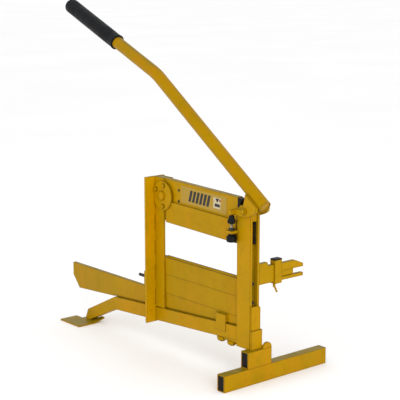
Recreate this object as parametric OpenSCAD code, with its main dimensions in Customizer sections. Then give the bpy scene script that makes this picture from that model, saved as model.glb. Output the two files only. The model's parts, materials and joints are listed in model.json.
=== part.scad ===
// Lever-operated tile and paving splitter: a fixed lower knife in a welded portal frame, an upper
// knife on a beam hinged at the left, and a long hand lever that presses the beam's free end down.
// Drawn in portal coordinates: X along the knives from the left edge of the cutting window, Y to
// the rear from the front face of the lower plates, Z up from the lower knife's edge.
// place() moves all of it so that the origin is the middle of the foot bar's underside.

/* [Cutting window] */
// Clear width between the left upright and the right column
window_w = 342; // [320:1:360]
// Height of the open gap at its left end
gap_h = 104; // [100:1:108]
// Height of the lower knife's edge above the floor
knife_h = 307; // [300:1:330]
// Gap between the front and rear bars, which the plates fill
core_t = 20; // [18:0.5:20]

/* [Foot] */
// Length of the foot bar, front to back
foot_len = 412; // [380:1:450]
// Width of the foot bar's square-cornered tube
foot_w = 30; // [25:1:40]
// Height of the foot bar's tube
foot_h = 50; // [40:1:60]
// Wall of the foot tubes
tube_wall = 3; // [2:0.5:4]
// Overhang of the foot bar in front of the plates
foot_front = 119; // [100:1:140]

/* [Column] */
// Width of the right column's bars
column_w = 57; // [55:1:60]
// Thickness of each column bar
bar_t = 8; // [7:0.5:8]
// Height of the column's top above the lower knife
column_top = 216; // [214:1:220]

/* [Left upright] */
// Front-to-back width of the left web plate
web_w = 74; // [70:1:80]
// Thickness of the left web plate
web_t = 8; // [6:0.5:10]
// Width of the upright's front flange
flange_w = 45; // [42:1:50]
// Thickness of the front flange and of the rear hinge plate
flange_t = 5; // [4:0.5:6]
// Height of the upright's top above the lower knife
upright_top = 245; // [244:1:250]

/* [Base] */
// Height of the base rail
rail_h = 43; // [38:1:46]
// Front-to-back width of the base rail
rail_w = 30; // [24:1:32]
// Rise of the base rail towards the right, in degrees
rail_tilt = 3.9; // [3:0.1:4.5]
// Thickness of the wing plate
wing_t = 12; // [8:1:16]

/* [Beam] */
// Depth of the knife beam from top edge to knife edge
beam_h = 140; // [138:1:144]
// Fall of the beam towards the right at rest, in degrees
beam_tilt = 1.6; // [1:0.1:2]
// Diameter of the beam's hinge pin
beam_pin_d = 20; // [16:1:24]

/* [Lever] */
// Outer diameter of the lever tube
lever_d = 38; // [37:0.5:40]
// Wall of the lever tube
lever_wall = 3; // [2:0.5:4]
// Slope of the lever's lower length, in degrees
lever_low_angle = 34.8; // [33:0.1:36]
// Slope of the lever's upper length, in degrees
lever_high_angle = 23.1; // [20:0.1:26]
// Outer diameter of the rubber grip
grip_d = 48; // [44:1:52]
// Length of the rubber grip
grip_len = 286; // [240:1:320]
// Diameter of the lever's pivot pin
lever_pin_d = 16; // [14:1:18]

/* [Thickness spindle] */
// Diameter of the threaded rod
rod_d = 10; // [8:1:10]
// Diameter of the lower knurled handwheel
wheel_d = 30; // [26:1:30]
// Diameter of the upper star nut
star_d = 25; // [22:1:26]

/* [Guide arm] */
// Length of the guide arm behind the column
arm_len = 177; // [170:1:190]
// Thickness of the guide arm
arm_t = 12; // [10:1:14]

/* [Hidden] */
$fn = 48;
eps = 0.5;            // how far a cutting tool runs past the face that it opens
running = 0.05;       // radial clearance of a shaft that turns in a hole
sliding = 0.3;        // clearance beside a sliding or swinging plate
drill = 0.1;          // radial clearance of a bolt in its hole

yellow = "goldenrod";
black = [0.10, 0.10, 0.11];
steel = [0.62, 0.62, 0.60];
dark_steel = [0.25, 0.25, 0.25];

// Column and foot
post_offset = 58;     // from the column's left edge to the middle of the foot bar
spring_room = 18;     // from the column's right edge to the seat under the spring
column_x0 = window_w;
column_x1 = window_w + column_w;
front_y0 = -bar_t;
rear_y0 = core_t;
rear_y1 = core_t + bar_t;
mid_y = core_t / 2;
floor_z = -knife_h;
foot_x = column_x0 + post_offset;
foot_x0 = foot_x - foot_w / 2;
block_z0 = floor_z + foot_h;
block_z1 = block_z0 + foot_h;
block_y0 = -28;
block_y1 = 65;
plug_inset = 1;
plug_len = 12;
ear_t = 6;
ear_r = 17;
ear_base = 1;
post_seam_z = -149;
sleeve_top_z = -77;
filler_top_z = 104;
filler_x0 = column_x1 - spring_room;
filler_recess = 10;
filler_x1 = column_x1 - filler_recess;
post_y0 = front_y0;
post_y1 = 34;
post_t = 8;
post_corner = 10;
sleeve_t = post_t - 3;
sleeve_y0 = post_y0 + 2;
sleeve_y1 = post_y1 - 5;
column_top_cut = 14;
column_outline = [
    [column_x0, block_z1], [column_x1, block_z1], [column_x1, column_top - column_top_cut],
    [column_x1 - column_top_cut, column_top], [column_x0 + column_top_cut, column_top],
    [column_x0, column_top - column_top_cut]
];
column_screw_z = [-69, -13];
column_screw_d = 8;
column_screw_depth = 6;
column_screw_head = 4;
column_screw_socket = 4;

// Left upright
web_x0 = -flange_w - web_t;
web_y0 = -40;
web_y1 = web_y0 + web_w;
upright_bottom = -222;
hinge_plate_x1 = 9;
hinge_plate_bottom = gap_h + 8;
disc_r = 46;
disc_t = 4;
disc_screw_angles = [-80, 75, 150];
disc_screw_r = 33;
disc_screw_d = 8;
disc_screw_head_d = 13;
disc_screw_head_t = 5;
disc_screw_end = -1;
pin_head_d = 30;
pin_head_t = 5;
pin_tail = 14;
pin_nut_d = 34;
pin_nut_t = 12;
stud_y = web_y0 + 7;
stud_z = -73;
boss_t = 5;
boss_y1 = -8;
boss_z = [-105, -55];
stud_d = 9;
stud_len = 37;
stud_tip = 2;

// Base rail: the height of its top edge at a place along X
rail_x0 = -265;
rail_z0 = -190;
rail_x1 = column_x0 - 1;
rail_y0 = mid_y - rail_w / 2;
function rail_top(x) = rail_z0 + (x - rail_x0) * tan(rail_tilt);
flange_bottom = rail_top(0) + sliding;
leg_end = [-421, -267];
leg_foot_x = [-436, -412];
bracket_x0 = column_x0 - 94;
bracket_x1 = column_x0 - 50;
bracket_t = 2;
bracket_top = -125;
bracket_lap = 22;
rail_bolt_x = [column_x0 - 84, column_x0 - 38];
rail_bolt_d = 18;
nut_d = 33;
nut_h = 13;
block_half = 22;
block_bottom = -201;
block_inset = 2;
nut_gap = 1;          // keeps the nut clear of the tilted underside
bolt_end = 4;
bolt_top = 22;
bolt_hole_top = 20;

// Left foot
foot_plate_t = 5;
foot_plate_top = floor_z + foot_plate_t;
foot_plate_outline = [
    [-481, -78], [-372, -78], [-372, -12], [-396, -12], [-396, 34], [-446, 34], [-446, -12], [-481, -12]
];
tail_x = [-388, -372];
tail_y = [-12, 28];
tail_rise = 11;

// Lower plates: each is set back a little from the one above it
anvil_top = -6;
anvil_seam = -60;
wing_top = -121;
plate_step = 0.8;
wing_y0 = 2 * plate_step;
seam_h = 4;
seam_depth = 5;
wing_end_x = -515;
wing_chamfer = [wing_end_x, -164];
wing_corner = [-479, -205];
wing_heel_x = -277;

// Knives
knife_t = 8;
knife_y0 = mid_y - knife_t / 2;
lower_knife_depth = 24;
bevel_h = 6;
knife_screw_count = 4;
knife_screw_d = 6;
knife_screw_z = -16;
knife_screw_bite = 3;
knife_screw_socket = [3, 2.5];

// Beam, drawn about its hinge: u along the beam, w up
hinge_x = -5;
hinge_z = gap_h + 86;
beam_bottom = -86;
beam_top = beam_bottom + beam_h;
beam_seat = beam_bottom + 8;
beam_corner = 14;
beam_u0 = -33;
beam_u1 = column_x0 + 29;
beam_y0 = sliding + 0.2;
beam_y1 = core_t - sliding - 0.2;
strip_top = beam_bottom + 72;
strip_bottom = beam_bottom + 5;
strip_t = 5;
strip_u0 = 16;
strip_u1 = column_x0 - 4;
knife_u0 = 8;
knife_u1 = column_x0;
upper_knife_h = 22;
strip_bolt_count = 4;
strip_bolt_d = 8;
strip_bolt_w = strip_bottom + 34;
strip_bolt_head = [15, 5];
strip_skin = 1;       // left in front of the blind bolt holes
rear_strip_short = 6;
buffer_drop = 2;
label_u0 = 82;
label_u1 = 292;
label_t = 0.8;
label_screw_u = 72;
label_w0 = strip_top + 7;
label_w1 = beam_top - 9;
label_screw_w = [strip_top + 8, beam_top - 26];
label_screw_d = 8;
label_screw_t = 3;
buffer_u = column_x0 - 3;
step_h = 30;
buffer_w = [3, 19];

// Lever, turning about its pin
pivot_x = column_x0 + 39;
pivot_z = 202;
cheek_t = 8;
cheek_y0 = mid_y - lever_d / 2 - cheek_t;
cheek_y1 = mid_y + lever_d / 2;
lever_end = [column_x0 + 97, 220];

// Direction along the lever, and across it upwards, where its slope is t
function lever_dir(t) = [-cos(t), sin(t)];
function lever_up(t) = [sin(t), cos(t)];
lower_len = 595.4;
bend_vertex = lever_end + lower_len * lever_dir(lever_low_angle);
bend_r = 200;
upper_len = 505;
bend_angle = lever_low_angle - lever_high_angle;
bend_tangent = bend_r * tan(bend_angle / 2);
tip_cap = 8;
cap_inset = 1.5;
cap_t = 4;
bend_start = lever_end + (lower_len - bend_tangent) * lever_dir(lever_low_angle);
bend_centre = bend_start - bend_r * lever_up(lever_low_angle);
bend_steps = 5;
function bend_point(t) = bend_centre + bend_r * lever_up(t);
tube_tip = bend_point(lever_high_angle)
    + (upper_len - tip_cap - bend_tangent) * lever_dir(lever_high_angle);
grip_round = 12;
grip_collar = [1, 6, 9];
nose = [column_x0 - 7, 194];
nose_r = 8;
nose_len = 14;
pin_y0 = cheek_y0 - 6;
pin_y1 = cheek_y1 + cheek_t + 6;
clip_t = 2;
clip_d = 24;
washer_d = 28;
cheek_outline = concat(
    [for (a = [90 : 45 : 270]) [nose[0] + nose_r * cos(a), nose[1] + nose_r * sin(a)]],
    [for (p = [[0, -17], [19, -13], [36, -6], [47, 2], [50, 17], [3, 50], [1, 36], [-5, 16], [-15, 4]])
        [pivot_x + p[0], pivot_z + p[1]]]
);

// Centre and slope at each station of the tube: its lower end, round the bend, and its tip
lever_stations = concat(
    [[lever_end, lever_low_angle]],
    [for (i = [0 : bend_steps]) let (t = lever_low_angle - bend_angle * i / bend_steps)
        [bend_point(t), t]],
    [[tube_tip, lever_high_angle]]
);
tube_sides = 32;

// Ear that the return spring lifts, at the beam's free end
ear_u1 = column_x1 + 2;
ear_z0 = 172;
ear_drop = (ear_u1 + beam_u1) / 2 * sin(beam_tilt);
ear_w0 = ear_z0 - hinge_z + ear_drop;
ear_gap = 0.5;
ear_w1 = pivot_z - lever_pin_d / 2 - ear_gap - hinge_z + ear_drop;
spring_x = filler_x0 + 9;
spring_r = 7.6;
spring_wire_r = 1.25;
spring_turns = 13;
spring_sides = 6;
spring_steps = 14;
spring_z0 = filler_top_z + spring_wire_r;
spring_gap = 0.4;
spring_z1 = ear_z0 - spring_wire_r - spring_gap;

// Thickness spindle
rod_x = nose[0];
rod_y = -23;
lug_z0 = 133;
lug_t = 8;
lug_half = 13;
lug_reach = 12;
lug_gap = 2;          // clear of the column
lug_nut_d = 18;
lug_nut_t = 7;
wheel_z0 = 107;
wheel_h = 22;
wheel_rim_h = wheel_h - 4;
wheel_hub_d = wheel_d - 8;
scallops = 12;
scallop_d = 5;
scallop_r = wheel_d / 2 + 1;
star_z0 = 161;
star_h = 20;
star_hub_top = nose[1] - nose_r - 1.2;
star_core_d = star_d - 6;
star_hub_d = star_d - 10;
lobes = 5;
lobe_d = 7;
lobe_h = 12;
lobe_r = star_d / 2 - lobe_d / 2;
star_skin = 0.5;      // closes the top of the hub over the rod
rod_gap = 1;

// Guide arm and its stop
arm_x1 = column_x1;
arm_x0 = arm_x1 - arm_t;
arm_y0 = rear_y1;
arm_y1 = arm_y0 + arm_len;
arm_z0 = -18;
arm_z1 = 34;
arm_root_z1 = 45;
arm_root_y1 = 60;
prong_taper_y = 172;
prong_tip_z = 20;
arm_root_slope = 3;
slot_z0 = -8;
slot_z1 = 10;
slot_y0 = 98;
spacer_y1 = 168;
spacer_recess = 4;
stop_y0 = 86;
stop_y1 = 114;
stop_wall = 4;
stop_z0 = -24;
stop_z1 = 46;
clamp_y = 93;
clamp_d = 8;
clamp_gap = 0.4;
cap_h = 4;
handle_z = clamp_d / 2;
clamp_bottom = -35;
handle_d = 6;
handle_len = 24;
handle_lean = 28;

// Helpers ---------------------------------------------------------------------------------------

module place() translate([-foot_x, foot_front - foot_len / 2, knife_h]) children();

module box(low, high) translate(low) cube(high - low);

// An outline of [x, z] points between two Y planes
module xz_plate(points, y0, y1)
    translate([0, y1, 0]) rotate([90, 0, 0]) linear_extrude(y1 - y0) polygon(points);

// An outline of [y, z] points between two X planes
module yz_plate(points, x0, x1)
    translate([x0, 0, 0]) rotate([90, 0, 90]) linear_extrude(x1 - x0) polygon(points);

module x_rod(y, z, x0, x1, d, sides = 48)
    translate([x0, y, z]) rotate([0, 90, 0]) cylinder(h = x1 - x0, d = d, $fn = sides);

module y_rod(x, z, y0, y1, d, sides = 48)
    translate([x, y0, z]) rotate([-90, 0, 0]) cylinder(h = y1 - y0, d = d, $fn = sides);

module z_rod(x, y, z0, z1, d, sides = 48)
    translate([x, y, z0]) cylinder(h = z1 - z0, d = d, $fn = sides);

// A rectangular tube along Y, open at both ends
module y_tube(x0, x1, z0, z1, y0, y1) difference() {
    box([x0, y0, z0], [x1, y1, z1]);
    box([x0 + tube_wall, y0 - eps, z0 + tube_wall], [x1 - tube_wall, y1 + eps, z1 - tube_wall]);
}

// Places evenly spaced between two ends, with half a space at each end
function spread(from, to, count) =
    [for (i = [0 : count - 1]) from + (to - from) * (i + 0.5) / count];

// The beam's own frame: u, Y, w about the hinge, tilted as at rest
module on_beam() translate([hinge_x, 0, hinge_z]) rotate([0, beam_tilt, 0]) children();

// Foot ------------------------------------------------------------------------------------------

module foot_bar() color(yellow)
    y_tube(foot_x0, foot_x0 + foot_w, floor_z, block_z0, -foot_front, foot_len - foot_front);

module foot_block() color(yellow)
    y_tube(foot_x0, foot_x0 + foot_w, block_z0, block_z1, block_y0, block_y1);

// Plastic plug in the end of a tube along Y, with its outer face at y0 and its body behind it
module tube_plug(z0, z1, y0, y1)
    box([foot_x0 + tube_wall, y0, z0 + tube_wall], [foot_x0 + foot_w - tube_wall, y1, z1 - tube_wall]);

// One plug in each open end of the foot bar and of the foot block
module foot_plugs() color(black) {
    bar_y0 = -foot_front;
    bar_y1 = foot_len - foot_front;
    tube_plug(floor_z, block_z0, bar_y0 + plug_inset, bar_y0 + plug_inset + plug_len);
    tube_plug(floor_z, block_z0, bar_y1 - plug_inset - plug_len, bar_y1 - plug_inset);
    tube_plug(block_z0, block_z1, block_y0 + plug_inset, block_y0 + plug_inset + plug_len);
    tube_plug(block_z0, block_z1, block_y1 - plug_inset - plug_len, block_y1 - plug_inset);
}

// Rounded ear that stands on the rear of the foot block
module foot_ear() color(yellow) yz_plate(concat(
    [[block_y1 - 2 * ear_r, block_z1], [block_y1, block_z1]],
    [for (a = [0 : 10 : 180])
        [block_y1 - ear_r + ear_r * cos(a), block_z1 + ear_base + ear_r * sin(a)]]
), foot_x0 + foot_w - ear_t, foot_x0 + foot_w);

module foot_post() color(yellow)
    box([column_x1, post_y0, block_z1], [column_x1 + post_t, post_y1, post_seam_z]);

module post_sleeve() color(yellow) difference() {
    box([column_x1, sleeve_y0, post_seam_z], [column_x1 + sleeve_t, sleeve_y1, sleeve_top_z]);
    translate([0, sleeve_y1 - post_corner, sleeve_top_z - post_corner])
        difference() {
            box([column_x1 - eps, 0, 0], [column_x1 + post_t, post_corner + eps, post_corner + eps]);
            x_rod(0, 0, column_x1 - 2 * eps, column_x1 + post_t + eps, 2 * post_corner);
        }
}

// Right column ----------------------------------------------------------------------------------

module column_bar(y0) difference() {
    xz_plate(column_outline, y0, y0 + bar_t);
    y_rod(pivot_x, pivot_z, y0 - eps, y0 + bar_t + eps, lever_pin_d);
}

module column_front() color(yellow) column_bar(front_y0);

module column_rear() color(yellow) column_bar(rear_y0);

// Fills the gap between the bars below the spring, and under the end of the plates
module column_filler() color(yellow) difference() {
    xz_plate([
        [column_x0, block_z1], [filler_x1, block_z1], [filler_x1, filler_top_z],
        [filler_x0, filler_top_z], [filler_x0, rail_top(filler_x0)],
        [column_x0, rail_top(column_x0)]
    ], 0, core_t);
    for (z = column_screw_z)
        x_rod(mid_y, z, filler_x1 - column_screw_depth, filler_x1 + eps, column_screw_d);
}

module column_screws() color(dark_steel)
    for (z = column_screw_z) difference() {
        x_rod(mid_y, z, filler_x1 - column_screw_depth, filler_x1 + column_screw_head, column_screw_d);
        x_rod(mid_y, z, filler_x1, filler_x1 + column_screw_head + eps, column_screw_socket, 6);
    }

// Lower plates ----------------------------------------------------------------------------------

module anvil_plate() color(yellow) difference() {
    box([-flange_w, 0, anvil_seam], [filler_x0, core_t, anvil_top]);
    box([0, knife_y0, -lower_knife_depth], [window_w - 2, knife_y0 + knife_t, anvil_top + eps]);
    for (x = spread(0, window_w, knife_screw_count))
        y_rod(x, knife_screw_z, knife_y0 + knife_t - eps, core_t + eps, knife_screw_d);
}

module middle_plate() color(yellow)
    box([-flange_w, plate_step, wing_top], [filler_x0, core_t, anvil_seam]);

// Runs on to the left through the upright as the long wing, and sits on the rail
module wing_plate() color(yellow) difference() {
    xz_plate([
        [wing_end_x, wing_top], wing_chamfer, wing_corner,
        [wing_heel_x, rail_top(wing_heel_x)], [filler_x0, rail_top(filler_x0)],
        [filler_x0, wing_top]
    ], wing_y0, wing_y0 + wing_t);
    xz_plate([
        [wing_heel_x, rail_top(wing_heel_x) - eps], [column_x0, rail_top(column_x0) - eps],
        [column_x0, rail_top(column_x0) + seam_h], [wing_heel_x, rail_top(wing_heel_x) + seam_h]
    ], 0, seam_depth);
}

function knife_profile(t, h) = [[0, 0], [t, 0], [t, h - bevel_h], [t / 2, h], [0, h - bevel_h]];

module lower_knife() color(steel) difference() {
    translate([0, knife_y0, -lower_knife_depth])
        yz_plate(knife_profile(knife_t, lower_knife_depth), 0, window_w - 2);
    for (x = spread(0, window_w, knife_screw_count))
        y_rod(x, knife_screw_z, knife_y0 + knife_t - knife_screw_bite, knife_y0 + knife_t + eps,
            knife_screw_d);
}

// Set screws that hold the lower knife, driven from the rear
module lower_knife_screws() color(dark_steel)
    for (x = spread(0, window_w, knife_screw_count)) difference() {
        y_rod(x, knife_screw_z, knife_y0 + knife_t - knife_screw_bite, core_t, knife_screw_d);
        y_rod(x, knife_screw_z, core_t - knife_screw_socket[1], core_t + eps, knife_screw_socket[0], 6);
    }

// Base rail and what is on it -------------------------------------------------------------------

module rail_body() xz_plate([
    [rail_x0, rail_top(rail_x0)], [rail_x1, rail_top(rail_x1)],
    [rail_x1, rail_top(rail_x1) - rail_h], [rail_x0, rail_top(rail_x0) - rail_h],
    [leg_foot_x[1], foot_plate_top], [leg_foot_x[0], foot_plate_top], leg_end
], rail_y0, rail_y0 + rail_w);

module base_rail() color(yellow) difference() {
    rail_body();
    for (x = rail_bolt_x)
        z_rod(x, mid_y, rail_top(x) - rail_h - eps, rail_top(x) - bolt_hole_top,
            rail_bolt_d + 2 * drill);
}

// Plate that ties the lower plates to the rail, lapped over the seam
module rail_bracket() color(yellow) {
    box([bracket_x0, rail_y0 - bracket_t, rail_top(bracket_x0) - bracket_lap],
        [bracket_x1, rail_y0, bracket_top]);
    xz_plate([
        [bracket_x0, rail_top(bracket_x0) + seam_h], [bracket_x1, rail_top(bracket_x1) + seam_h],
        [bracket_x1, bracket_top], [bracket_x0, bracket_top]
    ], rail_y0, wing_y0);
}

module rail_block() color(yellow) difference() {
    xz_plate([
        [rail_bolt_x[1] - block_half, rail_top(rail_bolt_x[1] - block_half) - rail_h],
        [rail_x1, rail_top(rail_x1) - rail_h], [rail_x1, block_bottom],
        [rail_bolt_x[1] - block_half, block_bottom]
    ], rail_y0 + block_inset, rail_y0 + rail_w - block_inset);
    z_rod(rail_bolt_x[1], mid_y, block_bottom - eps, rail_top(rail_x1), rail_bolt_d + 2 * drill);
}

module rail_nut(x, top) {
    z_rod(x, mid_y, top - nut_h, top, nut_d, 6);
    z_rod(x, mid_y, top - nut_h - bolt_end, rail_top(x) - bolt_top, rail_bolt_d);
}

module rail_nuts() color(yellow) {
    rail_nut(rail_bolt_x[0], rail_top(rail_bolt_x[0]) - rail_h - nut_gap);
    rail_nut(rail_bolt_x[1], block_bottom);
}

// Left upright ----------------------------------------------------------------------------------

module upright_web() color(yellow) difference() {
    box([web_x0, web_y0, upright_bottom], [-flange_w, web_y1, upright_top]);
    rail_body();
    box([web_x0 - eps, wing_y0, rail_top(-flange_w) - eps], [eps - flange_w, wing_y0 + wing_t, wing_top]);
}

// Right edge of the front flange is the left edge of the cutting window
module front_flange() color(yellow) difference() {
    box([-flange_w, -flange_t, flange_bottom], [0, 0, upright_top]);
    y_rod(hinge_x, hinge_z, -flange_t - eps, eps, beam_pin_d);
    for (a = disc_screw_angles) disc_screw_hole(a);
}

// Behind the beam, where it holds the rear end of the hinge pin
module rear_hinge_plate() color(yellow) difference() {
    box([-flange_w, core_t, hinge_plate_bottom], [hinge_plate_x1, core_t + flange_t, upright_top]);
    y_rod(hinge_x, hinge_z, core_t - eps, core_t + flange_t + eps, beam_pin_d);
}

module disc_screw_hole(a)
    y_rod(hinge_x + disc_screw_r * cos(a), hinge_z + disc_screw_r * sin(a),
        -flange_t - disc_t - eps, disc_screw_end, disc_screw_d);

// Wear disc around the beam's hinge, flattened where it meets the web
module pivot_disc() color(yellow) difference() {
    y_rod(hinge_x, hinge_z, -flange_t - disc_t, -flange_t, 2 * disc_r);
    box([-flange_w - disc_r, -flange_t - disc_t - eps, hinge_z - disc_r],
        [sliding - flange_w, eps - flange_t, hinge_z + disc_r]);
    y_rod(hinge_x, hinge_z, -flange_t - disc_t - eps, eps - flange_t, beam_pin_d);
    for (a = disc_screw_angles) disc_screw_hole(a);
}

module disc_screws() color(yellow) for (a = disc_screw_angles)
    translate([hinge_x + disc_screw_r * cos(a), 0, hinge_z + disc_screw_r * sin(a)]) {
        y_rod(0, 0, -flange_t - disc_t - disc_screw_head_t, -flange_t - disc_t, disc_screw_head_d, 6);
        y_rod(0, 0, -flange_t - disc_t, disc_screw_end, disc_screw_d);
    }

module beam_pin() color(yellow) {
    y_rod(hinge_x, hinge_z, -flange_t - disc_t - pin_head_t, -flange_t - disc_t, pin_head_d);
    y_rod(hinge_x, hinge_z, -flange_t - disc_t, core_t + flange_t + pin_tail, beam_pin_d);
}

module beam_pin_nut() color(dark_steel) difference() {
    y_rod(hinge_x, hinge_z, core_t + flange_t, core_t + flange_t + pin_nut_t, pin_nut_d, 6);
    y_rod(hinge_x, hinge_z, core_t + flange_t - eps, core_t + flange_t + pin_nut_t + eps, beam_pin_d);
}

module side_boss() color(yellow) difference() {
    box([web_x0 - boss_t, web_y0, boss_z[0]], [web_x0, boss_y1, boss_z[1]]);
    x_rod(stud_y, stud_z, web_x0 - boss_t - eps, web_x0 + eps, stud_d);
}

module side_stud() color(dark_steel) {
    x_rod(stud_y, stud_z, web_x0 - stud_len + stud_tip, web_x0, stud_d);
    x_rod(stud_y, stud_z, web_x0 - stud_len, web_x0 - stud_len + stud_tip, stud_d - stud_tip);
}

// Left foot -------------------------------------------------------------------------------------

// Flat pad under the leg and in front of it, with a tail bent up beside the leg
module left_foot() color(yellow) {
    translate([0, 0, floor_z]) linear_extrude(foot_plate_t) polygon(foot_plate_outline);
    yz_plate([
        [tail_y[0] - eps, floor_z], [tail_y[0], floor_z], [tail_y[1], floor_z + tail_rise],
        [tail_y[1], floor_z + tail_rise + foot_plate_t], [tail_y[0], foot_plate_top],
        [tail_y[0] - eps, foot_plate_top]
    ], tail_x[0], tail_x[1]);
}

// Guide arm behind the column -------------------------------------------------------------------

module guide_arm() color(yellow) difference() {
    yz_plate([
        [arm_y0, arm_z0], [arm_y1, arm_z0], [arm_y1, prong_tip_z], [prong_taper_y, arm_z1],
        [arm_root_y1 + arm_root_slope, arm_z1], [arm_root_y1, arm_root_z1], [arm_y0, arm_root_z1]
    ], arm_x0, arm_x1);
    box([arm_x0 - eps, slot_y0, slot_z0], [arm_x1 + eps, arm_y1 + eps, slot_z1]);
}

module arm_spacer() color(yellow)
    box([arm_x0, slot_y0, slot_z0], [arm_x1 - spacer_recess, spacer_y1, slot_z1]);

// Lever pivot -----------------------------------------------------------------------------------

module lever_pin() color(yellow)
    y_rod(pivot_x, pivot_z, pin_y0, pin_y1, lever_pin_d);

module ring(x, z, y0, y1, outer, inner) difference() {
    y_rod(x, z, y0, y1, outer);
    y_rod(x, z, y0 - eps, y1 + eps, inner);
}

module lever_pin_clips() color(yellow) {
    ring(pivot_x, pivot_z, cheek_y0 - clip_t - sliding, cheek_y0 - sliding, clip_d, lever_pin_d);
    ring(pivot_x, pivot_z, cheek_y1 + cheek_t + sliding, cheek_y1 + cheek_t + sliding + clip_t,
        clip_d, lever_pin_d);
}

// Spacing washers between the column bars and the lever's cheeks
module pivot_washers() color(steel) {
    ring(pivot_x, pivot_z, cheek_y0 + cheek_t + sliding, front_y0, washer_d, lever_pin_d);
    ring(pivot_x, pivot_z, rear_y1, cheek_y1 - sliding, washer_d, lever_pin_d);
}

// Return spring ---------------------------------------------------------------------------------

// One ring of points round the wire at step i of the coil
function coil_ring(i, steps) =
    let (turn = 360 * spring_turns * i / steps, z = spring_z0 + (spring_z1 - spring_z0) * i / steps)
    [for (k = [0 : spring_sides - 1])
        let (a = 360 * k / spring_sides, r = spring_r + spring_wire_r * cos(a))
        [spring_x + r * cos(turn), mid_y + r * sin(turn), z + spring_wire_r * sin(a)]];

module return_spring() color(black) {
    steps = spring_turns * spring_steps;
    n = spring_sides;
    points = [for (i = [0 : steps]) each coil_ring(i, steps)];
    sides = [for (i = [0 : steps - 1], k = [0 : n - 1])
        [i * n + k, (i + 1) * n + k, (i + 1) * n + (k + 1) % n, i * n + (k + 1) % n]];
    ends = [[for (k = [0 : n - 1]) k], [for (k = [0 : n - 1]) (steps + 1) * n - 1 - k]];
    polyhedron(points, concat(sides, ends), convexity = 10);
}

// Beam ------------------------------------------------------------------------------------------

function strip_bolt_u() = spread(strip_u0, strip_u1, strip_bolt_count);

module knife_beam() color(yellow) difference() {
    on_beam() xz_plate([
        [beam_u0, beam_seat + beam_corner], [beam_u0 + beam_corner, beam_seat], [beam_u1, beam_seat],
        [beam_u1, ear_w0], [ear_u1, ear_w0], [ear_u1, ear_w1], [beam_u1, ear_w1],
        [beam_u1, beam_top - step_h], [buffer_u, beam_top - step_h], [buffer_u, beam_top],
        [beam_u0, beam_top]
    ], beam_y0, beam_y1);
    y_rod(hinge_x, hinge_z, beam_y0 - eps, beam_y1 + eps, beam_pin_d + 2 * running);
    on_beam() {
        box([knife_u0, knife_y0, beam_seat - eps],
            [knife_u1, knife_y0 + knife_t, beam_bottom + upper_knife_h]);
        for (u = strip_bolt_u())
            y_rod(u, strip_bolt_w, beam_y0 - eps, beam_y1 + eps, strip_bolt_d + 2 * drill);
    }
}

// Its bolt holes are blind, so that the front stays plain
module front_clamp_bar() color(yellow) on_beam() difference() {
    box([strip_u0, beam_y0 - strip_t, strip_bottom], [strip_u1, beam_y0, strip_top]);
    for (u = strip_bolt_u())
        y_rod(u, strip_bolt_w, beam_y0 - strip_t + strip_skin, beam_y0 + eps, strip_bolt_d + 2 * drill);
}

module rear_clamp_bar() color(yellow) on_beam() difference() {
    box([strip_u0 + rear_strip_short, beam_y1, strip_bottom], [strip_u1, beam_y1 + strip_t, strip_top]);
    for (u = strip_bolt_u())
        y_rod(u, strip_bolt_w, beam_y1 - eps, beam_y1 + strip_t + eps, strip_bolt_d + 2 * drill);
}

module upper_knife() color(steel) on_beam()
    translate([0, knife_y0 + knife_t, beam_bottom + upper_knife_h]) rotate([180, 0, 0])
        yz_plate(knife_profile(knife_t, upper_knife_h), knife_u0, knife_u1);

// Bolts through the rear bar and the beam into the front bar
module clamp_bar_bolts() color(dark_steel) on_beam()
    for (u = strip_bolt_u()) {
        y_rod(u, strip_bolt_w, beam_y0 - strip_t + strip_skin + eps, beam_y1 + strip_t, strip_bolt_d);
        y_rod(u, strip_bolt_w, beam_y1 + strip_t, beam_y1 + strip_t + strip_bolt_head[1],
            strip_bolt_head[0], 6);
    }

module label_plate() color("khaki") on_beam()
    box([label_u0, beam_y0 - label_t, label_w0], [label_u1, beam_y0, label_w1]);

module label_screws() color(dark_steel) on_beam()
    for (w = label_screw_w) y_rod(label_screw_u, w, beam_y0 - label_screw_t, beam_y0, label_screw_d);

module spindle_lug() color(yellow) difference() {
    translate([0, 0, lug_z0]) linear_extrude(lug_t) polygon([
        [rod_x - lug_half, beam_y0 - strip_t], [column_x0 - lug_gap, beam_y0 - strip_t],
        [column_x0 - lug_gap, front_y0 - lug_gap], [rod_x + lug_half, front_y0 - lug_gap],
        [rod_x + lug_half, rod_y - lug_reach], [rod_x - lug_half, rod_y - lug_reach]
    ]);
    z_rod(rod_x, rod_y, lug_z0 - eps, lug_z0 + lug_t + eps, rod_d + 2 * running);
}

module lug_nut() color(dark_steel) difference() {
    z_rod(rod_x, rod_y, lug_z0 + lug_t, lug_z0 + lug_t + lug_nut_t, lug_nut_d, 6);
    z_rod(rod_x, rod_y, lug_z0, lug_z0 + lug_t + lug_nut_t + eps, rod_d + 2 * running);
}

// Rubber block in the step at the beam's free end, where the lever comes down on it
module beam_buffer() color(black) on_beam() xz_plate([
    [buffer_u, beam_top - step_h], [buffer_u + buffer_w[0], beam_top - step_h],
    [buffer_u + buffer_w[1], beam_top - buffer_drop], [buffer_u, beam_top - buffer_drop]
], beam_y0, beam_y1);

// Thickness spindle -----------------------------------------------------------------------------

module spindle_rod() color(steel)
    z_rod(rod_x, rod_y, wheel_z0 + wheel_h, star_hub_top - rod_gap, rod_d);

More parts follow.
